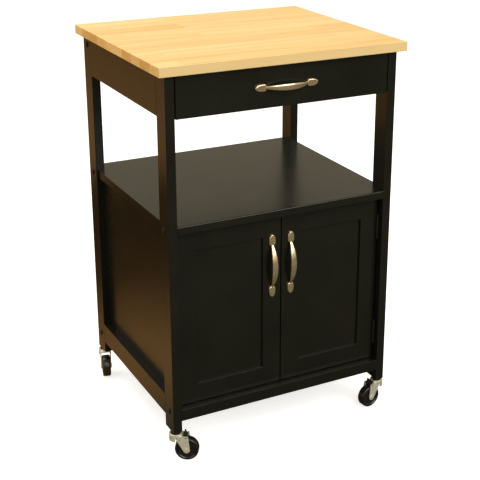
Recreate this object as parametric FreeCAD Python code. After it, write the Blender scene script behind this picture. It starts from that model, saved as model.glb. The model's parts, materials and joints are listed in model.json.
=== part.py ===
import FreeCAD, Part
import math
import os

# Microwave cart, millimetres. +Z up, X across, the doors and the drawer face -Y.
# The origin is on the floor, under the middle of the box that bounds the whole cart.

# ---- driving sizes ----
overall_height = 914.0

top_thickness = 21.0
top_side_overhang = 17.5
top_front_overhang = 15.0
top_back_overhang = 5.0
top_edge_ease = 1.5

frame_width = 560.0
frame_depth = 494.0
leg_width = 21.0
leg_depth = 47.5
leg_bottom = 72.0
leg_edge = 1.2

apron_height = 94.0
apron_thickness = 17.0
side_rail_bottom = 101.0
side_rail_height = 50.0
side_panel_thickness = leg_width - apron_thickness
rear_apron_thickness = 18.0

shelf_top = 564.0
shelf_thickness = 20.0
shelf_side_setback = 5.0
shelf_edge_round = 2.5

front_rail_bottom = 99.0
front_rail_height = 27.0
front_rail_depth = 18.0
floor_thickness = 16.0
back_thickness = 4.0
back_setback = 8.0

drawer_gap = 2.5
drawer_front_thickness = 18.0
drawer_wall = 12.0
drawer_back_clearance = 23.25
drawer_box_height = 64.0
drawer_box_lift = 6.0
drawer_bottom_thickness = 6.0
drawer_bottom_lift = 4.0

runner_end_gap = 5.0
runner_height = 38.0
runner_space = 12.5
runner_sheet = 1.2
runner_lip = 4.0
runner_play = 0.5

door_thickness = 18.0
door_recess = 18.0
door_gap = 2.5
door_hinge_gap = 3.2
door_stile = 45.0
door_panel_recess = 5.0
door_panel_thickness = 6.0
door_groove = 6.0
door_edge_ease = 0.8

hinge_leaf = 1.2
hinge_length = 60.0
hinge_leaf_depth = 17.0
hinge_from_end = 70.0
knuckle_radius = 2.8
hinge_pin_radius = 1.5
hinge_side_play = 0.4
knuckle_play = 0.4

pull_length = 152.0
pull_hole_spacing = 124.0
pull_reach = 21.0
pull_bow_thickness = 5.5
pull_bow_width = 14.5
pull_neck_width = 6.0
pull_neck_root = 6.0
pull_foot_width = 16.0
pull_foot_thickness = 5.0
pull_screw_radius = 2.0
pull_screw_head = 4.0
pull_screw_head_height = 2.2
pull_screw_bite = 4.0
door_pull_drop = 116.5

catch_width = 46.0
catch_depth = 14.0
catch_height = 13.0
catch_from_centre = 34.0
strike_thickness = 1.2

bolt_radius = 3.0
bolt_head_radius = 6.5
bolt_head_height = 2.2
bolt_head_round = 1.3
bolt_bite = 32.0
top_bolt_drop = 23.0

bracket_leg = 18.0
bracket_sheet = 2.0
bracket_length = 32.0
bracket_from_middle = 110.0
wood_screw_radius = 2.0
wood_screw_bite = 12.0
wood_screw_head = 3.6
wood_screw_head_height = 1.6

wheel_radius = 27.5
wheel_width = 20.0
wheel_shoulder = 3.5
wheel_dish = 2.0
caster_outset = 10.0
caster_trail = 25.0
axle_radius = 3.0
axle_head_radius = 4.5
axle_head_height = 1.2
fork_side_play = 1.0
fork_sheet = 2.0
fork_top_gap = 5.0
fork_tip_radius = 7.5
fork_side_reach = 4.0
hood_radius = 15.5
hood_wall = 2.8
hood_rim_height = 4.5
hood_skirt_bottom = 49.0
hood_edge_round = 1.0
race_gap = 0.2
collar_radius = 10.0
stem_radius = 4.0
stem_length = 28.0
stem_rivet_radius = 7.0
stem_rivet_height = 2.0
socket_wall = 3.0
socket_length = 32.0

pedal_pivot_radius = 1.5
pedal_hub_radius = 3.2
pedal_cam_radius = 3.85
pedal_cam_half_angle = 12.0
pedal_cam_angle = -55.0
pedal_pivot_height = 3.9
pedal_pivot_setback = 1.5
pedal_angle = 95.0
pedal_reach = 10.8
pedal_sheet = 3.0
pedal_width = 19.0

fit = 0.05
swivel_angles = {"front_left": -31.0, "front_right": 190.0, "rear_left": 255.0, "rear_right": 262.0}

# ---- places worked out from the sizes ----
leg_front = -(pull_reach + frame_depth + top_back_overhang) / 2 + pull_reach
leg_back = leg_front + frame_depth
leg_outer = frame_width / 2
leg_inner = leg_outer - leg_width
leg_middle_x = leg_outer - leg_width / 2
front_leg_y = leg_front + leg_depth / 2
rear_leg_y = leg_back - leg_depth / 2
between_front = leg_front + leg_depth
between_back = leg_back - leg_depth
top_under = overall_height - top_thickness
apron_inner = leg_outer - apron_thickness
bracket_screw_x = apron_inner - bracket_leg / 2
apron_bottom = top_under - apron_height
shelf_under = shelf_top - shelf_thickness
front_rail_top = front_rail_bottom + front_rail_height
floor_front = leg_front + front_rail_depth
floor_back = leg_back - front_rail_depth
side_rail_top = side_rail_bottom + side_rail_height
drawer_half = leg_inner - drawer_gap
drawer_back_of_front = leg_front + drawer_front_thickness
drawer_side_outer = leg_inner - runner_space
rear_apron_front = rear_leg_y - rear_apron_thickness / 2
drawer_box_length = rear_apron_front - drawer_back_clearance - drawer_back_of_front
runner_length = drawer_box_length - runner_end_gap
drawer_box_bottom = apron_bottom + drawer_box_lift
drawer_middle = (apron_bottom + top_under - drawer_gap) / 2
runner_middle = drawer_box_bottom + drawer_box_height / 2
door_face = leg_front + door_recess
door_back = door_face + door_thickness
door_bottom = front_rail_top + door_gap
door_top = shelf_under - door_gap
door_outer = leg_inner - door_hinge_gap
door_meeting = door_gap / 2
door_pull_middle = door_top - door_pull_drop
hinge_x = leg_inner - knuckle_radius - hinge_side_play
hinge_y = door_face - knuckle_radius - hinge_side_play
meeting_stile_x = door_meeting + door_stile / 2
fork_inner = wheel_width / 2 + fork_side_play
fork_outer = fork_inner + fork_sheet
fork_top_under = 2 * wheel_radius + fork_top_gap
fork_top = fork_top_under + fork_sheet
pedal_pivot_trail = caster_trail - pedal_pivot_setback
socket_radius = stem_radius + fit + socket_wall

X = FreeCAD.Vector(1, 0, 0)
Y = FreeCAD.Vector(0, 1, 0)
Z = FreeCAD.Vector(0, 0, 1)
V = FreeCAD.Vector


def box(x, y, z):
    """A block between the two values of each pair."""
    low = [min(pair) for pair in (x, y, z)]
    size = [max(pair) - min(pair) for pair in (x, y, z)]
    return Part.makeBox(size[0], size[1], size[2], V(*low))


def rod(radius, start, axis, length):
    """A round bar from start along axis."""
    return Part.makeCylinder(radius, length, V(*start), axis)


def mirrored(shape, side):
    """The shape itself on the right (+1), or its mirror image on the left (-1)."""
    return shape if side > 0 else shape.mirror(V(0, 0, 0), X)


def eased(shape, radius, along):
    """Rounds the straight edges that run along the given direction."""
    edges = [e for e in shape.Edges if abs(abs(e.tangentAt(e.FirstParameter).dot(along)) - 1) < 1e-6]
    return shape.makeFillet(radius, edges)


def joined(shapes):
    """One solid from pieces of one casting or one bent sheet."""
    result = shapes[0].fuse(shapes[1:])
    return result.removeSplitter()


def slab(points, start, thickness, origin, across, up, out):
    """A flat outline, drawn in across and up, made solid along out."""
    corners = [origin + across * a + up * u + out * start for a, u in points]
    face = Part.Face(Part.makePolygon(corners + corners[:1]))
    return face.extrude(out * thickness)


def save(name, *shapes):
    """Writes one sub-part, a single solid or a group of like solids."""
    shape = shapes[0] if len(shapes) == 1 else Part.makeCompound(list(shapes))
    shape.exportStep("parts/" + name + ".step")


def corners():
    """The name, side and y of each leg, and the y of its caster's stem, set out toward the corner."""
    for end, y, out in (("front", front_leg_y, -1), ("rear", rear_leg_y, 1)):
        for side, hand in ((-1, "left"), (1, "right")):
            yield end + "_" + hand, side, y, y + out * caster_outset


# ---- bolts that hold the frame together ----
def bolt_places():
    """y and z of the bolts through each side, the same on left and right."""
    shelf_z = shelf_top - shelf_thickness / 2
    floor_z = front_rail_top - floor_thickness / 2
    return [(rear_leg_y, top_under - top_bolt_drop), (front_leg_y, shelf_z), (rear_leg_y, shelf_z),
            (front_leg_y, floor_z), (rear_leg_y, floor_z)]


def bolt_holes(side):
    """What the bolts of one side need cut, in the leg and in the board behind it."""
    holes = []
    for y, z in bolt_places():
        hole = rod(bolt_radius + fit, (leg_inner - bolt_bite, y, z), X, leg_width + bolt_bite)
        holes.append(mirrored(hole, side))
    return holes


def bored(shape):
    """The shape with the bolt holes of both sides."""
    return shape.cut(bolt_holes(-1) + bolt_holes(1))


def frame_bolts():
    bolts = []
    for side in (-1, 1):
        for y, z in bolt_places():
            shank = rod(bolt_radius, (leg_inner - bolt_bite + fit, y, z), X, leg_width + bolt_bite)
            head = rod(bolt_head_radius, (leg_outer, y, z), X, bolt_head_height)
            ring = [e for e in head.Edges if abs(e.BoundBox.XMin - leg_outer - bolt_head_height) < fit]
            head = head.makeFillet(bolt_head_round, ring[:1])
            bolts.append(mirrored(joined([head, shank]), side))
    save("frame_bolts", *bolts)


# ---- top and frame ----
def bracket_places():
    """y of the middle of each bracket along a side apron."""
    middle = (between_front + between_back) / 2
    return (middle - bracket_from_middle, middle + bracket_from_middle)


def worktop():
    board = box((-leg_outer - top_side_overhang, leg_outer + top_side_overhang),
                (leg_front - top_front_overhang, leg_back + top_back_overhang),
                (top_under, overall_height))
    board = board.makeFillet(top_edge_ease, board.Edges)
    for side in (-1, 1):
        for y in bracket_places():
            hole = rod(wood_screw_radius + fit, (side * bracket_screw_x, y, top_under), Z, wood_screw_bite)
            board = board.cut(hole)
    save("worktop", board)


def legs():
    for name, side, y, stem_y in corners():
        leg = box((leg_inner, leg_outer), (y - leg_depth / 2, y + leg_depth / 2), (leg_bottom, top_under))
        leg = eased(leg, leg_edge, Z)
        leg = leg.cut(rod(socket_radius + fit, (leg_middle_x, stem_y, leg_bottom), Z, socket_length))
        save(name + "_leg", bored(mirrored(leg, side)))


def side_frames():
    span = (between_front, between_back)
    for side, hand in ((-1, "left"), (1, "right")):
        depth = (apron_inner, leg_outer)
        apron = box(depth, span, (apron_bottom, top_under))
        rail = box(depth, span, (side_rail_bottom, side_rail_top))
        panel = box((leg_inner, leg_inner + side_panel_thickness), span, (side_rail_bottom, shelf_under))
        save(hand + "_side_apron", mirrored(apron, side))
        save(hand + "_side_rail", mirrored(rail, side))
        save(hand + "_side_panel", mirrored(panel, side))


def rear_apron():
    board = box((-leg_inner, leg_inner), (rear_apron_front, rear_apron_front + rear_apron_thickness),
                (apron_bottom, top_under))
    save("rear_apron", bored(board))


def shelf():
    across = leg_outer - shelf_side_setback
    board = box((-leg_inner, leg_inner), (leg_front, leg_back), (shelf_under, shelf_top))
    wide = box((-across, across), (between_front, between_back), (shelf_under, shelf_top))
    board = joined([board, wide])
    front = [e for e in board.Edges
             if e.BoundBox.YMax < leg_front + fit and e.BoundBox.XLength > leg_inner]
    save("shelf", bored(board.makeFillet(shelf_edge_round, front)))


def cabinet():
    across = (-leg_inner, leg_inner)
    save("front_lower_rail", box(across, (leg_front, floor_front), (front_rail_bottom, front_rail_top)))
    save("rear_lower_rail", box(across, (floor_back, leg_back), (front_rail_bottom, front_rail_top)))
    floor = box(across, (floor_front, floor_back), (front_rail_top - floor_thickness, front_rail_top))
    save("cabinet_floor", bored(floor))
    back_y = leg_back - back_setback
    save("cabinet_back", box(across, (back_y - back_thickness, back_y), (front_rail_top, shelf_under)))


def top_brackets():
    """Angle plates that hold the top down on the side aprons, and their screws."""
    brackets = []
    screws = []
    for side in (-1, 1):
        for y in bracket_places():
            span = (y - bracket_length / 2, y + bracket_length / 2)
            upright = box((apron_inner - bracket_sheet, apron_inner), span, (top_under - bracket_leg, top_under))
            flat = box((apron_inner - bracket_leg, apron_inner), span, (top_under - bracket_sheet, top_under))
            bracket = joined([upright, flat])
            hole = rod(wood_screw_radius + fit, (bracket_screw_x, y, top_under - bracket_sheet), Z,
                       bracket_sheet)
            brackets.append(mirrored(bracket.cut(hole), side))
            head_z = top_under - bracket_sheet - wood_screw_head_height
            head = rod(wood_screw_head, (bracket_screw_x, y, head_z), Z, wood_screw_head_height)
            shank = rod(wood_screw_radius, (bracket_screw_x, y, head_z), Z,
                        wood_screw_head_height + bracket_sheet + wood_screw_bite - fit)
            screws.append(mirrored(joined([head, shank]), side))
    save("worktop_brackets", *brackets)
    save("worktop_screws", *screws)


# ---- drawer ----
def runners():
    """Outer channels on the legs and the inner bars that slide in them."""
    outer = []
    inner = []
    y = (drawer_back_of_front, drawer_back_of_front + runner_length)
    half = runner_height / 2
    for side in (-1, 1):
        web = box((leg_inner - runner_sheet, leg_inner), y, (runner_middle - half, runner_middle + half))
        lips = []
        for lip in (-1, 1):
            edge = runner_middle + lip * half
            lips.append(box((leg_inner - runner_sheet - runner_lip, leg_inner), y,
                            (edge, edge - lip * runner_sheet)))
        outer.append(mirrored(joined([web] + lips), side))
        free = half - runner_sheet - runner_play
        bar = box((drawer_side_outer, leg_inner - runner_sheet - runner_play), y,
                  (runner_middle - free, runner_middle + free))
        inner.append(mirrored(bar, side))
    save("drawer_runner_channels", *outer)
    save("drawer_runner_bars", *inner)


def pull_screw(length):
    """A pan head screw along +Y whose head seats at y = 0 and points at the pull."""
    head = rod(pull_screw_head, (0, 0, 0), Y, pull_screw_head_height)
    shank = rod(pull_screw_radius, (0, -length, 0), Y, length)
    return joined([head, shank])


def pull():
    """A bow pull along X, its feet on the plane y = 0, reaching to -Y."""
    half = pull_hole_spacing / 2
    foot_end = pull_length / 2
    foot_start = 2 * half - foot_end
    outer_foot = foot_start + pull_neck_root
    inner_foot = foot_start
    outer_arc = Part.Arc(V(-outer_foot, 0, 0), V(0, -pull_reach, 0), V(outer_foot, 0, 0)).toShape()
    inner_arc = Part.Arc(V(inner_foot, 0, 0), V(0, pull_bow_thickness - pull_reach, 0),
                         V(-inner_foot, 0, 0)).toShape()
    ends = [Part.makeLine(V(outer_foot, 0, 0), V(inner_foot, 0, 0)),
            Part.makeLine(V(-inner_foot, 0, 0), V(-outer_foot, 0, 0))]
    arch = Part.Face(Part.Wire([outer_arc, ends[0], inner_arc, ends[1]]))
    arch = arch.extrude(Z * pull_bow_width)
    arch.translate(Z * (-pull_bow_width / 2))
    neck = pull_neck_width / 2
    belly = pull_bow_width / 2
    sides = [Part.Arc(V(-outer_foot, 0, neck), V(0, 0, belly), V(outer_foot, 0, neck)).toShape(),
             Part.makeLine(V(outer_foot, 0, neck), V(outer_foot, 0, -neck)),
             Part.Arc(V(outer_foot, 0, -neck), V(0, 0, -belly), V(-outer_foot, 0, -neck)).toShape(),
             Part.makeLine(V(-outer_foot, 0, -neck), V(-outer_foot, 0, neck))]
    plan = Part.Face(Part.Wire(sides)).extrude(-Y * pull_reach)
    body = [arch.common(plan)]
    for end in (-1, 1):
        radius = pull_foot_width / 2
        bar = box((end * (foot_start + radius), end * (foot_end - radius)), (-pull_foot_thickness, 0),
                  (-radius, radius))
        body.append(bar)
        for x in (foot_start + radius, foot_end - radius):
            body.append(rod(radius, (end * x, 0, 0), -Y, pull_foot_thickness))
    handle = joined(body)
    for end in (-1, 1):
        handle = handle.cut(rod(pull_screw_radius + fit, (end * half, 0, 0), -Y, pull_screw_bite))
    return handle


def place_pull(name, x, face_y, z, upright, thickness):
    """Sets a pull and its two screws on a front, across it or upright, and returns their holes."""
    turn = FreeCAD.Rotation(Y, 90 if upright else 0)
    handle = pull()
    handle.Placement = FreeCAD.Placement(V(x, face_y, z), turn)
    save(name, handle)
    screws = []
    holes = []
    for end in (-1, 1):
        at = V(x, face_y, z) + turn.multVec(V(end * pull_hole_spacing / 2, 0, 0))
        screw = pull_screw(thickness + pull_screw_bite - fit)
        screw.translate(at + Y * thickness)
        screws.append(screw)
        holes.append(rod(pull_screw_radius + fit, (at.x, at.y, at.z), Y, thickness))
    save(name + "_screws", *screws)
    return holes


def drawer():
    holes = place_pull("drawer_pull", 0, leg_front, drawer_middle, False, drawer_front_thickness)
    front = box((-drawer_half, drawer_half), (leg_front, drawer_back_of_front),
                (apron_bottom, top_under - drawer_gap))
    rim = [e for e in front.Edges if e.BoundBox.YMax < leg_front + fit]
    save("drawer_front", front.makeFillet(door_edge_ease, rim).cut(holes))
    back_y = drawer_back_of_front + drawer_box_length
    z = (drawer_box_bottom, drawer_box_bottom + drawer_box_height)
    inside = drawer_side_outer - drawer_wall
    for side, hand in ((-1, "left"), (1, "right")):
        board = box((inside, drawer_side_outer), (drawer_back_of_front, back_y), z)
        save("drawer_" + hand + "_side", mirrored(board, side))
    save("drawer_back", box((-inside, inside), (back_y - drawer_wall, back_y), z))
    bottom_z = drawer_box_bottom + drawer_bottom_lift
    save("drawer_bottom", box((-inside, inside), (drawer_back_of_front, back_y - drawer_wall),
                              (bottom_z, bottom_z + drawer_bottom_thickness)))


# ---- doors ----
def hinge(z):
    """One butt hinge on the right: the fixed leaf, then the moving leaf, then the pin."""
    third = hinge_length / 3
    low = z - hinge_length / 2
    leaf_y = (hinge_y, hinge_y + hinge_leaf_depth)
    fixed = [box((leg_inner - hinge_leaf, leg_inner), leaf_y, (low, low + hinge_length))]
    moving = [box((door_outer, door_outer + hinge_leaf), leaf_y, (low, low + hinge_length))]
    bore = rod(hinge_pin_radius + fit, (hinge_x, hinge_y, low), Z, hinge_length)
    clear = knuckle_radius + knuckle_play
    notches = {True: [], False: []}
    for step in range(3):
        start = low + step * third + (knuckle_play / 2 if step else 0)
        height = third - knuckle_play / (2 if step != 1 else 1)
        tube = rod(knuckle_radius, (hinge_x, hinge_y, start), Z, height)
        (moving if step == 1 else fixed).append(tube)
        notches[step == 1].append(rod(clear, (hinge_x, hinge_y, low + step * third - fit), Z, third + 2 * fit))
    fixed_leaf = fixed[0].cut(notches[True])
    moving_leaf = moving[0].cut(notches[False])
    pin = rod(hinge_pin_radius, (hinge_x, hinge_y, low), Z, hinge_length)
    return (joined([fixed_leaf] + fixed[1:]).cut(bore), joined([moving_leaf] + moving[1:]).cut(bore), pin)


def doors():
    fixed_leaves = []
    pins = []
    for side, hand in ((-1, "left"), (1, "right")):
        name = hand + "_door"
        holes = place_pull(name + "_pull", side * meeting_stile_x, door_face, door_pull_middle, True,
                           door_thickness)
        frame = box((door_meeting, door_outer), (door_face, door_back), (door_bottom, door_top))
        rim = [e for e in frame.Edges if e.BoundBox.YMax < door_face + fit]
        frame = frame.makeFillet(door_edge_ease, rim)
        inner_x = (door_meeting + door_stile, door_outer - door_stile)
        inner_z = (door_bottom + door_stile, door_top - door_stile)
        panel_y = (door_face + door_panel_recess, door_face + door_panel_recess + door_panel_thickness)
        panel_x = (inner_x[0] - door_groove, inner_x[1] + door_groove)
        panel_z = (inner_z[0] - door_groove, inner_z[1] + door_groove)
        frame = frame.cut([box(inner_x, (door_face, door_back), inner_z), box(panel_x, panel_y, panel_z)])
        save(name + "_frame", mirrored(frame, side).cut(holes))
        save(name + "_panel", mirrored(box(panel_x, panel_y, panel_z), side))
        moving_leaves = []
        for z in (door_bottom + hinge_from_end, door_top - hinge_from_end):
            fixed_leaf, moving_leaf, pin = hinge(z)
            fixed_leaves.append(mirrored(fixed_leaf, side))
            moving_leaves.append(mirrored(moving_leaf, side))
            pins.append(mirrored(pin, side))
        save(name + "_hinge_leaves", *moving_leaves)
        strike = box((catch_from_centre - catch_width / 2, catch_from_centre + catch_width / 2),
                     (door_back, door_back + strike_thickness), (door_top - catch_height, door_top))
        save(name + "_strike", mirrored(strike, side))
    save("fixed_hinge_leaves", *fixed_leaves)
    save("hinge_pins", *pins)


def catches():
    bodies = []
    for side in (-1, 1):
        front = door_back + strike_thickness
        body = box((catch_from_centre - catch_width / 2, catch_from_centre + catch_width / 2),
                   (front, front + catch_depth), (shelf_under - catch_height, shelf_under))
        bodies.append(mirrored(body, side))
    save("magnetic_catches", *bodies)


# ---- casters ----
def swivelled(shape, name, side, y):
    """Turns a caster piece to its rest heading and sets it under its leg."""
    shape = shape.copy()
    shape.rotate(V(0, 0, 0), Z, swivel_angles[name])
    shape.translate(V(side * leg_middle_x, y, 0))
    return shape


def wheel():
    """A moulded wheel on the axle line, which runs along Y at the end of the trail."""
    half = wheel_width / 2
    inner = axle_radius + fit
    hub = axle_head_radius + wheel_dish
    rim = wheel_radius - wheel_shoulder
    outline = [(inner, -half), (hub, -half), (hub + wheel_dish, -half + wheel_dish),
               (rim - wheel_dish, -half + wheel_dish), (rim, -half), (wheel_radius, -half + wheel_shoulder)]
    outline += [(radius, -y) for radius, y in reversed(outline)]
    points = [V(caster_trail, y, wheel_radius + radius) for radius, y in outline]
    face = Part.Face(Part.makePolygon(points + points[:1]))
    return face.revolve(V(caster_trail, 0, wheel_radius), Y, 360)


def hood():
    """The round hood of a fork: a dish over the crown and a skirt that is left off on the wheel's side."""
    rim_top = fork_top + hood_rim_height
    body = rod(hood_radius, (0, 0, hood_skirt_bottom), Z, rim_top - hood_skirt_bottom)
    rims = [e for e in body.Edges if len(e.Vertexes) == 1]
    body = body.makeFillet(hood_edge_round, rims)
    inside = hood_radius - hood_wall
    dish = rod(inside, (0, 0, fork_top), Z, hood_rim_height)
    below = rod(inside, (0, 0, hood_skirt_bottom), Z, fork_top_under - hood_skirt_bottom)
    mouth = box((0, hood_radius), (-hood_radius, hood_radius), (hood_skirt_bottom, fork_top_under))
    return body.cut([dish, below, mouth])


def fork(braked):
    """The stamped fork: hood, crown plate and two tapered sides."""
    plate_end = pedal_pivot_trail - pedal_hub_radius - pedal_sheet
    plate = box((0, plate_end), (-fork_outer, fork_outer), (fork_top_under, fork_top))
    solids = [hood(), plate]
    axle = V(caster_trail, 0, wheel_radius)
    far = caster_trail + fork_side_reach
    for side in (-1, 1):
        outline = tapered_side(far)
        start = fork_inner if side > 0 else -fork_outer
        blank = slab(outline, start, fork_sheet, V(0, 0, 0), X, Z, Y)
        tip = rod(fork_tip_radius, (axle.x, start, axle.z), Y, fork_sheet)
        solids += [blank, tip]
    body = joined(solids)
    cuts = [rod(stem_radius + fit, (0, 0, fork_top_under), Z, fork_sheet),
            rod(axle_radius + fit, (axle.x, -fork_outer, axle.z), Y, 2 * fork_outer)]
    if braked:
        cuts.append(rod(pedal_pivot_radius + fit, (pedal_pivot_trail, -fork_outer, pedal_pivot_z()), Y,
                        2 * fork_outer))
    return body.cut(cuts)


def pedal_pivot_z():
    """Height of the pedal's pivot over the floor."""
    return 2 * wheel_radius + pedal_pivot_height


def tapered_side(far):
    """Outline of a fork side: a level top edge, then straight edges tangent to the tip round the axle."""
    axle_x = caster_trail
    axle_z = wheel_radius
    top = [(-hood_wall, fork_top), (far, fork_top)]
    low = []
    for (x, z), hand in zip(top, (-1, 1)):
        dx = axle_x - x
        dz = axle_z - z
        distance = math.hypot(dx, dz)
        turn = math.asin(fork_tip_radius / distance)
        heading = math.atan2(dz, dx) + hand * turn
        reach = math.sqrt(distance ** 2 - fork_tip_radius ** 2)
        low.append((x + reach * math.cos(heading), z + reach * math.sin(heading)))
    return [top[0], top[1], low[1], low[0]]


def axle():
    """Axle bolt with a head on each side of the fork."""
    shaft = rod(axle_radius, (caster_trail, -fork_outer, wheel_radius), Y, 2 * fork_outer)
    near = rod(axle_head_radius, (caster_trail, -fork_outer, wheel_radius), -Y, axle_head_height)
    far = rod(axle_head_radius, (caster_trail, fork_outer, wheel_radius), Y, axle_head_height)
    return joined([shaft, near, far])


def brake_pedal():
    """Foot pedal with its pivot and the cam that turns against the tread."""
    pivot = V(pedal_pivot_trail, 0, pedal_pivot_z())
    half = pedal_width / 2
    hub = rod(pedal_hub_radius, (pivot.x, -half, pivot.z), Y, pedal_width)
    pin = rod(pedal_pivot_radius, (pivot.x, -fork_outer, pivot.z), Y, 2 * fork_outer)
    plate = box((0, pedal_reach), (-half, half), (0, pedal_sheet))
    plate.rotate(V(0, 0, 0), Y, -pedal_angle)
    plate.translate(pivot)
    cam = [(0.0, 0.0)]
    for step in (-1, 0, 1):
        angle = math.radians(pedal_cam_angle + step * pedal_cam_half_angle)
        cam.append((pedal_cam_radius * math.cos(angle), pedal_cam_radius * math.sin(angle)))
    lobe = slab(cam, -half, pedal_width, pivot, X, Z, Y)
    return joined([hub, pin, plate, lobe])


def stem():
    """Swivel stem with its collar in the hood's dish and the rivet head under the crown."""
    collar_low = fork_top + race_gap
    collar = rod(collar_radius, (0, 0, collar_low), Z, leg_bottom - collar_low)
    rivet_low = fork_top_under - stem_rivet_height - race_gap
    rivet = rod(stem_rivet_radius, (0, 0, rivet_low), Z, stem_rivet_height)
    shank = rod(stem_radius, (0, 0, rivet_low), Z, leg_bottom + stem_length - rivet_low)
    return joined([collar, rivet, shank])


def socket():
    """Threaded insert in the foot of the leg."""
    tube = rod(socket_radius, (0, 0, leg_bottom), Z, socket_length)
    return tube.cut(rod(stem_radius + fit, (0, 0, leg_bottom), Z, socket_length))


def casters():
    stems = []
    sockets = []
    for name, side, _, y in corners():
        braked = name.startswith("front")
        save(name + "_caster_fork", swivelled(fork(braked), name, side, y))
        save(name + "_caster_wheel", swivelled(wheel(), name, side, y))
        save(name + "_caster_axle", swivelled(axle(), name, side, y))
        if braked:
            save(name + "_brake_pedal", swivelled(brake_pedal(), name, side, y))
        stems.append(swivelled(stem(), name, side, y))
        sockets.append(swivelled(socket(), name, side, y))
    save("caster_stems", *stems)
    save("caster_sockets", *sockets)


os.makedirs("parts", exist_ok=True)
worktop()
legs()
side_frames()
rear_apron()
shelf()
cabinet()
frame_bolts()
top_brackets()
runners()
drawer()
doors()
catches()
casters()
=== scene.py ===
import json
import math
import bpy
import bmesh
from mathutils import Matrix, Vector

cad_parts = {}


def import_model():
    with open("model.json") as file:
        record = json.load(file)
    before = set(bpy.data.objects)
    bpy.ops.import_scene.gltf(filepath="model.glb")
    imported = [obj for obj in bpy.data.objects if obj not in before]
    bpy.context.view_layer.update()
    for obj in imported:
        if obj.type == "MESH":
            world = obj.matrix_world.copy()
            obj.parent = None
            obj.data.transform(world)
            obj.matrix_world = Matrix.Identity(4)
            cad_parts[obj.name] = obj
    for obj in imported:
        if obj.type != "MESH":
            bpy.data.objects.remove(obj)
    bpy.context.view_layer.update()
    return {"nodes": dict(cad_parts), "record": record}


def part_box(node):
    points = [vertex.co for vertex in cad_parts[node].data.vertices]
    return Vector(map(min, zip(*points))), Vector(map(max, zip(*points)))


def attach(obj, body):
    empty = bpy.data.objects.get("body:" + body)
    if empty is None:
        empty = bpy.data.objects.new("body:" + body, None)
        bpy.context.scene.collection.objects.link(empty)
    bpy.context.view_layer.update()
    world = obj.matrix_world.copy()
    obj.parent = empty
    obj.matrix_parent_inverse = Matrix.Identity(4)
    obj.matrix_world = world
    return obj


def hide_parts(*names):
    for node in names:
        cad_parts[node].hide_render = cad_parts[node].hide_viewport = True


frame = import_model()

HANDS = ("left", "right")
CORNERS = ("front_left", "front_right", "rear_left", "rear_right")
JOINTS = {joint["name"]: joint for joint in frame["record"]["behaviour"]["joints"]}


# ---- meshes ----
MERGE_DISTANCE = 1e-6
SMOOTH_BELOW = math.radians(35)


def piece(name, bm, body, material):
    """Turns a bmesh into a piece that moves with a body of the cart."""
    bmesh.ops.remove_doubles(bm, verts=bm.verts, dist=MERGE_DISTANCE)
    bmesh.ops.recalc_face_normals(bm, faces=bm.faces)
    mesh = bpy.data.meshes.new(name)
    bm.to_mesh(mesh)
    bm.free()
    for face in mesh.polygons:
        face.use_smooth = True
    mesh.set_sharp_from_angle(angle=SMOOTH_BELOW)
    mesh.materials.append(material)
    obj = bpy.data.objects.new(name, mesh)
    bpy.context.scene.collection.objects.link(obj)
    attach(obj, body)
    return obj


# ---- materials ----
# The mixing node's colour sockets share their names with hidden ones, so they go by their places.
MIX_FACTOR, MIX_FIRST, MIX_SECOND, MIX_RESULT = 0, 6, 7, 2


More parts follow.
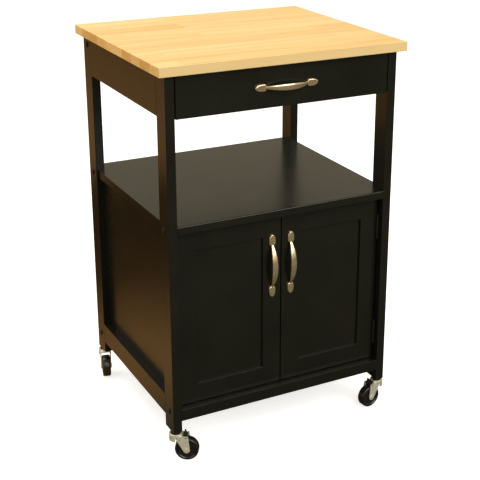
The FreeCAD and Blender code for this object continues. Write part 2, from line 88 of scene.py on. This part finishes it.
class Finish:
    """A node material that is built one node at a time."""

    def __init__(self, name):
        self.material = bpy.data.materials.new(name)
        self.material.use_nodes = True
        self.tree = self.material.node_tree
        self.shader = self.tree.nodes["Principled BSDF"]
        self.place = self.tree.nodes.new("ShaderNodeTexCoord").outputs["Object"]

    def feed(self, socket, source):
        """Links another socket into this one, or sets it to a number, a vector or a colour."""
        if isinstance(source, bpy.types.NodeSocket):
            self.tree.links.new(source, socket)
        elif socket.type == "RGBA" and len(source) == 3:
            socket.default_value = (*source, 1.0)
        else:
            socket.default_value = source

    def node(self, kind, sources=None, **values):
        """Adds a node, sets its attributes, then feeds its sockets."""
        made = self.tree.nodes.new("ShaderNode" + kind)
        for key, value in values.items():
            setattr(made, key, value)
        for key, source in (sources or {}).items():
            self.feed(made.inputs[key], source)
        return made

    def stretched(self, scale, source=None):
        """Coordinates scaled along each axis, the object's own unless others are given."""
        made = self.node("Mapping", {"Vector": source or self.place, "Scale": scale})
        return made.outputs["Vector"]

    def noise(self, vector, scale, detail=4.0, roughness=0.55):
        """A cloudy factor from 0 to 1."""
        made = self.node("TexNoise", {"Vector": vector, "Scale": scale, "Detail": detail,
                                      "Roughness": roughness})
        return made.outputs["Fac"]

    def ramp(self, factor, stops):
        """Colours from a factor; each stop is a position and a colour."""
        made = self.node("ValToRGB", {"Fac": factor})
        ends = made.color_ramp.elements
        while len(ends) < len(stops):
            ends.new(0.5)
        for end, (position, colour) in zip(ends, stops):
            end.position = position
            end.color = (*colour, 1.0)
        return made.outputs["Color"]

    def spread(self, factor, low, high, start=0.3, end=0.7):
        """Maps a factor to a range of plain numbers."""
        made = self.node("MapRange", {"Value": factor, "From Min": start, "From Max": end,
                                      "To Min": low, "To Max": high})
        return made.outputs["Result"]

    def mix(self, factor, first, second, how="MIX"):
        """Blends two colours."""
        made = self.node("Mix", {MIX_FACTOR: factor, MIX_FIRST: first, MIX_SECOND: second},
                         data_type="RGBA", blend_type=how)
        return made.outputs[MIX_RESULT]

    def math(self, operation, first, second=0.0):
        """Works out one number from one or two others."""
        return self.node("Math", {0: first, 1: second}, operation=operation).outputs[0]

    def set(self, **values):
        """Feeds the shader's sockets, with underscores for spaces."""
        for key, source in values.items():
            self.feed(self.shader.inputs[key.replace("_", " ")], source)

    def bump(self, height, strength, distance, under=None):
        """Roughens the surface by a height, on top of the normal that is given."""
        made = self.node("Bump", {"Height": height, "Strength": strength, "Distance": distance})
        if under:
            self.feed(made.inputs["Normal"], under)
        self.set(Normal=made.outputs["Normal"])


def butcher_block():
    """Oiled hardwood staves along X, joined end to end, each with a tone and grain of its own."""
    wood = Finish("butcher_block")
    low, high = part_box("worktop")
    stave_count = 10
    stave_length = 0.43
    first_joint = 0.08
    step_per_row = 0.37
    joint_gap = 0.0003
    eased = 0.0012
    from_front = wood.node("Mapping", {"Vector": wood.place, "Location": (first_joint, -low.y, 0.0)})
    staves = wood.node("TexBrick", {"Vector": from_front.outputs["Vector"], "Scale": 1.0,
                                    "Color1": (0.0, 0.0, 0.0, 1.0), "Color2": (1.0, 1.0, 1.0, 1.0),
                                    "Mortar": (0.5, 0.5, 0.5, 1.0), "Mortar Size": joint_gap,
                                    "Mortar Smooth": 0.2, "Bias": 0.0, "Brick Width": stave_length,
                                    "Row Height": (high.y - low.y) / stave_count},
                       offset=step_per_row, offset_frequency=2, squash=1.0)
    tone = staves.outputs["Color"]
    seam = staves.outputs["Fac"]
    shifted = wood.node("VectorMath", {0: wood.place, 1: wood.mix(1.0, tone, (3.1, 7.7, 5.3), "MULTIPLY")},
                        operation="ADD").outputs[0]
    figure = wood.noise(wood.stretched((1.6, 34.0, 34.0), source=shifted), 1.6, 5.0, 0.6)
    pores = wood.noise(wood.stretched((9.0, 420.0, 420.0), source=shifted), 1.0, 3.0, 0.6)
    rings = wood.noise(wood.stretched((1.0, 130.0, 210.0), source=shifted), 1.3, 4.0, 0.6)
    colour = wood.ramp(tone, [(0.0, (0.80, 0.54, 0.235)), (0.35, (0.85, 0.61, 0.285)),
                              (0.7, (0.88, 0.65, 0.325)), (1.0, (0.83, 0.575, 0.26))])
    darker = wood.mix(1.0, colour, (0.86, 0.74, 0.58), "MULTIPLY")
    colour = wood.mix(wood.spread(figure, 0.0, 0.9, 0.42, 0.72), colour, darker)
    colour = wood.mix(wood.spread(pores, 0.0, 0.3, 0.5, 0.75), colour, darker)
    colour = wood.mix(wood.math("MULTIPLY", seam, 0.5), colour, (0.50, 0.26, 0.08))
    spot = wood.node("SeparateXYZ", {"Vector": wood.place}).outputs
    # Painted light: every face below the top's eased arris, the sides and the underside alike, is lightened
    # toward a pale yellow in place of the light that the edges catch.
    painted_light_below_top = wood.spread(spot["Z"], 1.0, 0.0, high.z - 2 * eased, high.z - eased)
    colour = wood.mix(wood.math("MULTIPLY", painted_light_below_top, 0.4), colour, (0.92, 0.76, 0.40))
    end_grain = wood.spread(wood.math("ABSOLUTE", spot["X"]), 0.0, 1.0, high.x - eased, high.x)
    cut_across = wood.mix(wood.spread(rings, 0.0, 1.0, 0.35, 0.7), (1.0, 0.97, 0.86), (0.90, 0.74, 0.54))
    stave_ends = wood.ramp(tone, [(0.2, (0.84, 0.74, 0.62)), (0.7, (1.0, 1.0, 1.0))])
    cut_across = wood.mix(1.0, cut_across, stave_ends, "MULTIPLY")
    colour = wood.mix(end_grain, colour, wood.mix(1.0, colour, cut_across, "MULTIPLY"))
    wood.set(Base_Color=colour, Roughness=wood.spread(figure, 0.36, 0.48), Specular_IOR_Level=0.3)
    height = wood.math("SUBTRACT", wood.math("MULTIPLY", pores, 0.25), seam)
    wood.bump(height, 0.22, 0.0006)
    return wood.material


def black_paint():
    """Satin black paint over wood: soft arrises, a fine orange peel and grain that shows a little."""
    paint = Finish("black_paint")
    mottle = paint.noise(paint.place, 9.0, 3.0)
    peel = paint.noise(paint.place, 420.0, 2.0)
    grain = paint.noise(paint.stretched((60.0, 60.0, 5.0)), 5.0, 4.0, 0.6)
    colour = paint.ramp(mottle, [(0.3, (0.0062, 0.0062, 0.0040)), (0.7, (0.0084, 0.0083, 0.0055))])
    paint.set(Base_Color=colour, Roughness=paint.spread(mottle, 0.22, 0.28), Specular_IOR_Level=0.42)
    arris = 0.0012
    soft = paint.node("Bevel", {"Radius": arris}, samples=4)
    paint.bump(paint.math("ADD", peel, paint.math("MULTIPLY", grain, 0.6)), 0.02, 0.0004,
               soft.outputs["Normal"])
    return paint.material


def satin_nickel():
    """Cast and brushed nickel, warm, with fine streaks."""
    metal = Finish("satin_nickel")
    streaks = metal.noise(metal.stretched((40.0, 900.0, 40.0)), 6.0, 3.0)
    cloud = metal.noise(metal.place, 60.0, 2.0)
    colour = metal.ramp(cloud, [(0.3, (0.80, 0.65, 0.42)), (0.7, (0.90, 0.74, 0.50))])
    metal.set(Base_Color=colour, Metallic=0.95, Roughness=metal.spread(streaks, 0.20, 0.30))
    metal.bump(streaks, 0.04, 0.0002)
    return metal.material


def zinc_plate():
    """Bright zinc plate on stamped steel."""
    metal = Finish("zinc_plate")
    cloud = metal.noise(metal.place, 140.0, 3.0)
    colour = metal.ramp(cloud, [(0.3, (0.74, 0.73, 0.60)), (0.7, (0.84, 0.83, 0.70))])
    metal.set(Base_Color=colour, Metallic=0.5, Roughness=metal.spread(cloud, 0.26, 0.38))
    metal.bump(cloud, 0.1, 0.0003)
    return metal.material


def plain_steel():
    """Bright steel screws, brackets, runners and strikes."""
    metal = Finish("plain_steel")
    cloud = metal.noise(metal.stretched((30.0, 200.0, 200.0)), 8.0, 3.0)
    colour = metal.ramp(cloud, [(0.3, (0.42, 0.42, 0.42)), (0.7, (0.55, 0.55, 0.54))])
    metal.set(Base_Color=colour, Metallic=1.0, Roughness=metal.spread(cloud, 0.3, 0.45))
    return metal.material


def wheel_rubber():
    """Hard black wheel: mould marks and a dusty sheen on the tread."""
    rubber = Finish("wheel_rubber")
    dust = rubber.noise(rubber.place, 130.0, 4.0)
    colour = rubber.ramp(dust, [(0.35, (0.006, 0.0055, 0.0045)), (0.75, (0.014, 0.0125, 0.011))])
    rubber.set(Base_Color=colour, Roughness=rubber.spread(dust, 0.22, 0.34), Specular_IOR_Level=0.5)
    rubber.bump(dust, 0.12, 0.0003)
    return rubber.material


def black_plastic():
    """Moulded plastic of the pedals and catches, with a fine grain."""
    plastic = Finish("black_plastic")
    grain = plastic.noise(plastic.place, 700.0, 2.0)
    colour = plastic.ramp(grain, [(0.3, (0.012, 0.012, 0.011)), (0.7, (0.020, 0.019, 0.018))])
    plastic.set(Base_Color=colour, Roughness=plastic.spread(grain, 0.38, 0.5))
    plastic.bump(grain, 0.15, 0.0002)
    return plastic.material


def black_hardware():
    """Blackened bolts, hinges and stems."""
    metal = Finish("black_hardware")
    cloud = metal.noise(metal.place, 200.0, 3.0)
    colour = metal.ramp(cloud, [(0.3, (0.007, 0.007, 0.005)), (0.7, (0.011, 0.0105, 0.008))])
    metal.set(Base_Color=colour, Roughness=metal.spread(cloud, 0.48, 0.60), Specular_IOR_Level=0.25)
    return metal.material


def drawer_board():
    """Clear finished birch inside the drawer, grain along Y."""
    wood = Finish("drawer_board")
    figure = wood.noise(wood.stretched((30.0, 1.8, 30.0)), 2.0, 5.0, 0.6)
    colour = wood.ramp(figure, [(0.35, (0.60, 0.44, 0.27)), (0.7, (0.72, 0.56, 0.37))])
    wood.set(Base_Color=colour, Roughness=wood.spread(figure, 0.45, 0.58))
    wood.bump(figure, 0.1, 0.0004)
    return wood.material


FINISHES = {make.__name__: make() for make in (
    butcher_block, black_paint, satin_nickel, zinc_plate, plain_steel, wheel_rubber, black_plastic,
    black_hardware, drawer_board)}


def paint_frame():
    """Gives each carried piece the finish of its slot."""
    for part in frame["record"]["subparts"]:
        obj = frame["nodes"][part["node"]]
        obj.data.materials.clear()
        obj.data.materials.append(FINISHES[part["material_slot"]])


# ---- pulls ----
FOOT_DOME = 0.0145
FOOT_SHOULDER = 0.012
FOOT_CORNER_POWER = 0.32
FOOT_THICKNESS = 0.0046
FOOT_CROWN = 0.0020
FOOT_SEGMENTS = 40
CROWN_SEGMENTS = 5
BOW_ROOT = 0.0040
BOW_BELLY = (0.00715, 0.0027)
BOW_NECK = (0.0026, 0.0021)
BOW_SWELL_POWER = 0.9
BOW_SECTION_POWER = 0.72
BOW_SHARE_OF_ARC = 0.97
BOW_STEPS = 44
BOW_SEGMENTS = 32


def pull_foot(bm, length, width, end):
    """A shield foot: square toward the bow, domed at the outer end, with a soft crown."""
    upright = Matrix.Rotation(math.pi / 2, 4, "X") @ Matrix.Scale(width / 2, 4)
    pad = bmesh.ops.create_circle(bm, cap_ends=True, radius=1.0, segments=FOOT_SEGMENTS,
                                  matrix=upright)["verts"]
    for vert in pad:
        out = vert.co.x * end / (width / 2)
        vert.co.x = end * (FOOT_DOME * out if out > 0 else -FOOT_SHOULDER * abs(out) ** FOOT_CORNER_POWER)
    bmesh.ops.translate(bm, vec=(end * (length / 2 - FOOT_DOME), 0, 0), verts=pad)
    face = next(f for f in bm.faces if set(f.verts) == set(pad))
    raised = bmesh.ops.extrude_face_region(bm, geom=[face], use_keep_orig=True)["geom"]
    lifted = [item for item in raised if isinstance(item, bmesh.types.BMVert)]
    bmesh.ops.translate(bm, vec=(0, -FOOT_THICKNESS, 0), verts=lifted)
    rim = [e for e in bm.edges if all(v in lifted for v in e.verts)]
    bmesh.ops.bevel(bm, geom=rim, offset=FOOT_CROWN, segments=CROWN_SEGMENTS, affect="EDGES", profile=0.5,
                    material=-1)


def pull_bow(bm, length, reach):
    """The arch between the feet: rings along an arc, thin at the necks and broad and flat at the belly."""
    half_span = length / 2 - FOOT_DOME - FOOT_SHOULDER + BOW_ROOT
    rise = reach - BOW_BELLY[1]
    radius = (half_span ** 2 + rise ** 2) / (2 * rise)
    widest = math.asin(half_span / radius) * BOW_SHARE_OF_ARC
    loops = []
    for step in range(BOW_STEPS + 1):
        angle = widest * (2 * step / BOW_STEPS - 1)
        swell = math.cos(angle / widest * math.pi / 2) ** BOW_SWELL_POWER
        width, depth = (neck + (belly - neck) * swell for neck, belly in zip(BOW_NECK, BOW_BELLY))
        middle = Vector((radius * math.sin(angle), radius - rise - radius * math.cos(angle), 0))
        turn = Matrix.Rotation(angle, 4, "Z") @ Matrix.Rotation(math.pi / 2, 4, "Y")
        ring = bmesh.ops.create_circle(bm, radius=1.0, segments=BOW_SEGMENTS)["verts"]
        for vert in ring:
            vert.co = [math.copysign(abs(part) ** BOW_SECTION_POWER, part) for part in vert.co]
        place = Matrix.Translation(middle) @ turn @ Matrix.Diagonal((width, depth, 1.0, 1.0))
        bmesh.ops.transform(bm, matrix=place, verts=ring)
        loops.append(list(dict.fromkeys(e for v in ring for e in v.link_edges)))
    for near, far in zip(loops, loops[1:]):
        bmesh.ops.bridge_loops(bm, edges=near + far)
    for end in (loops[0], loops[-1]):
        bmesh.ops.edgeloop_fill(bm, edges=end)


def bow_pull(node, body):
    """Replaces the plain pull by the cast one, in the same space."""
    low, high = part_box(node)
    size = high - low
    length, width = max(size.x, size.z), min(size.x, size.z)
    bm = bmesh.new()
    for end in (-1, 1):
        pull_foot(bm, length, width, end)
    pull_bow(bm, length, size.y)
    turn = Matrix.Rotation(math.pi / 2, 4, "Y") if size.z > size.x else Matrix.Identity(4)
    middle = Vector(((low.x + high.x) / 2, high.y, (low.z + high.z) / 2))
    bmesh.ops.transform(bm, matrix=Matrix.Translation(middle) @ turn, verts=bm.verts)
    obj = piece(node + "_cast", bm, body, FINISHES["satin_nickel"])
    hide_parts(node)


# ---- casters ----
WHEEL_RADIUS = 0.02749
WHEEL_HALF = 0.010
WHEEL_BORE = 0.0031
HUB_RADIUS = 0.0065
HUB_EASE = 0.0006
WEB_HALF = 0.0078
WEB_SLOPE = 0.0012
RIM_RADIUS = 0.0215
RIM_EASE = 0.0008
TREAD_ROUND = 0.0038
TREAD_STEPS = 6
WHEEL_STEPS = 72


def wheel_outline():
    """Half of the wheel's section, from the bore to the middle of the tread: along the axle, then out."""
    points = [(WHEEL_HALF, WHEEL_BORE), (WHEEL_HALF, HUB_RADIUS - HUB_EASE),
              (WHEEL_HALF - HUB_EASE, HUB_RADIUS), (WEB_HALF, HUB_RADIUS + WEB_SLOPE),
              (WEB_HALF, RIM_RADIUS - WEB_SLOPE), (WHEEL_HALF - RIM_EASE, RIM_RADIUS),
              (WHEEL_HALF, RIM_RADIUS + RIM_EASE)]
    for step in range(TREAD_STEPS + 1):
        angle = math.pi / 2 * step / TREAD_STEPS
        points.append((WHEEL_HALF - TREAD_ROUND + TREAD_ROUND * math.cos(angle),
                       WHEEL_RADIUS - TREAD_ROUND + TREAD_ROUND * math.sin(angle)))
    return points


def turned_wheel(corner):
    """A moulded wheel: hub boss, sunk web, rim and a tread with round shoulders."""
    joint = JOINTS[corner + "_wheel_spin"]
    middle = Vector(joint["pos_m"])
    axle = Vector(joint["axis"]).normalized()
    half = wheel_outline()
    outline = half + [(-along, out) for along, out in reversed(half)]
    bm = bmesh.new()
    verts = [bm.verts.new(middle + axle * along + Vector((0, 0, out))) for along, out in outline]
    edges = [bm.edges.new(pair) for pair in zip(verts, verts[1:] + verts[:1])]
    bmesh.ops.spin(bm, geom=verts + edges, cent=middle, axis=axle, angle=2 * math.pi, steps=WHEEL_STEPS,
                   use_merge=True)
    obj = piece(corner + "_wheel_turned", bm, corner + "_wheel", FINISHES["wheel_rubber"])
    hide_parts(corner + "_caster_wheel")


# ---- bolts ----
BOLT_HEAD_RADIUS = 0.0065
SOCKET_RADIUS = 0.0028
SOCKET_DEPTH = 0.00008


def bolt_sockets():
    """The dark hexagonal sockets in the bolt heads, a hair proud of each head's flat."""
    low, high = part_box("frame_bolts")
    shelf_low, shelf_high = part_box("shelf")
    floor_low, floor_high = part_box("cabinet_floor")
    rows = [(shelf_low.z + shelf_high.z) / 2, (floor_low.z + floor_high.z) / 2]
    legs = {end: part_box(end + "_left_leg") for end in ("front", "rear")}
    middles = {end: (box[0].y + box[1].y) / 2 for end, box in legs.items()}
    places = [(middles[end], z) for end in middles for z in rows]
    places.append((middles["rear"], high.z - BOLT_HEAD_RADIUS))
    bm = bmesh.new()
    for face in (low.x, high.x):
        for y, z in places:
            place = Matrix.Translation((face, y, z)) @ Matrix.Rotation(math.pi / 2, 4, "Y")
            bmesh.ops.create_cone(bm, cap_ends=True, segments=6, radius1=SOCKET_RADIUS, radius2=SOCKET_RADIUS,
                                  depth=SOCKET_DEPTH, matrix=place)
    piece("bolt_sockets", bm, "frame", FINISHES["black_plastic"])


# ---- camera, floor and light ----
FLOOR_HALF = 14.0


def camera():
    """The photograph's viewpoint, in metres and radians."""
    place = Vector((-1.1107, -2.2597, 1.4088))
    heading, fall, roll = 0.503, 0.338, 0.010
    data = bpy.data.cameras.new("camera")
    data.sensor_width = 36.0
    data.lens = 83.2
    data.shift_x = -0.0958
    data.shift_y = -0.0958
    obj = bpy.data.objects.new("camera", data)
    turn = (Matrix.Rotation(-heading, 4, "Z") @ Matrix.Rotation(math.pi / 2 - fall, 4, "X")
            @ Matrix.Rotation(roll, 4, "Z"))
    obj.matrix_world = Matrix.Translation(place) @ turn
    bpy.context.scene.collection.objects.link(obj)
    bpy.context.scene.camera = obj


def floor():
    """A plain floor: white to the camera, with the cart's shadow. All but the camera sees other tones:
    a quiet grey in front, and behind it painted reflections: warm and dark rings, placed so that the side
    panel and the shelf mirror them as their gradient."""
    bm = bmesh.new()
    bmesh.ops.create_grid(bm, x_segments=1, y_segments=1, size=FLOOR_HALF)
    mesh = bpy.data.meshes.new("floor")
    bm.to_mesh(mesh)
    bm.free()
    pale = Finish("floor_white")
    seen = pale.node("LightPath").outputs["Is Camera Ray"]
    reflection_ring_middle = (-0.3, 0.1, 0.0)
    reflection_ring_reach = 2.4
    front_fade = 0.15
    quiet = pale.ramp(pale.noise(pale.place, 3.0), [(0.3, (0.125, 0.118, 0.098)), (0.7, (0.14, 0.132, 0.11))])
    away = pale.node("VectorMath", {0: pale.place, 1: reflection_ring_middle}, operation="DISTANCE").outputs["Value"]
    # Painted reflection: warm and dark rings around a middle behind the cart, bright near the middle and far
    # out and dark between, which the side panel and the shelf mirror as their gradient.
    rings = pale.ramp(pale.spread(away, 0.0, 1.0, 0.0, reflection_ring_reach), [
        (0.10, (0.52, 0.29, 0.11)), (0.30, (0.11, 0.058, 0.022)), (0.50, (0.05, 0.027, 0.010)),
        (0.68, (0.03, 0.016, 0.006)), (0.84, (0.56, 0.31, 0.125)), (1.0, (0.56, 0.31, 0.125))])
    depth = pale.node("SeparateXYZ", {"Vector": pale.place}).outputs["Y"]
    behind = pale.spread(depth, 0.0, 1.0, -front_fade, front_fade)
    warm = pale.mix(behind, quiet, rings)
    pale.set(Base_Color=pale.mix(seen, warm, (0.80, 0.80, 0.80)), Roughness=0.9, Specular_IOR_Level=0.0,
             Emission_Color=(1.0, 1.0, 1.0), Emission_Strength=pale.math("MULTIPLY", seen, 0.7))
    mesh.materials.append(pale.material)
    obj = bpy.data.objects.new("floor", mesh)
    bpy.context.scene.collection.objects.link(obj)


def world():
    """White to the camera, a plain warm grey level on the cart."""
    sky = bpy.data.worlds.new("studio")
    bpy.context.scene.world = sky
    sky.use_nodes = True
    tree = sky.node_tree
    path = tree.nodes.new("ShaderNodeLightPath")
    level = tree.nodes.new("ShaderNodeMix")
    level.data_type = "RGBA"
    level.inputs[MIX_FIRST].default_value = (0.52, 0.45, 0.32, 1.0)
    level.inputs[MIX_SECOND].default_value = (1.0, 1.0, 1.0, 1.0)
    tree.links.new(path.outputs["Is Camera Ray"], level.inputs[MIX_FACTOR])
    tree.links.new(level.outputs[MIX_RESULT], tree.nodes["Background"].inputs["Color"])


def lamp(name, place, target, size, power, colour):
    """A rectangular lamp that faces its target, its power in watts."""
    data = bpy.data.lights.new(name, "AREA")
    data.shape = "RECTANGLE"
    data.size, data.size_y = size
    data.energy = power
    data.color = colour
    obj = bpy.data.objects.new(name, data)
    aim = (Vector(target) - Vector(place)).to_track_quat("-Z", "Y")
    obj.matrix_world = Matrix.Translation(place) @ aim.to_matrix().to_4x4()
    bpy.context.scene.collection.objects.link(obj)


paint_frame()
bow_pull("drawer_pull", "drawer")
for hand in HANDS:
    bow_pull(hand + "_door_pull", hand + "_door")
for corner in CORNERS:
    turned_wheel(corner)
bolt_sockets()
camera()
floor()
world()
lamp("key", (-1.1, 1.3, 3.2), (0, 0, 0.5), (2.0, 2.0), 55, (1.0, 0.955, 0.94))
lamp("fill", (0.5, -2.8, 2.6), (0, 0, 0.6), (3.6, 2.6), 106, (0.99, 1.0, 0.96))
lamp("side", (-3.0, -0.3, 1.1), (0, 0, 0.45), (1.6, 1.6), 20, (1.0, 0.90, 0.68))
bpy.context.scene.view_settings.view_transform = "Standard"
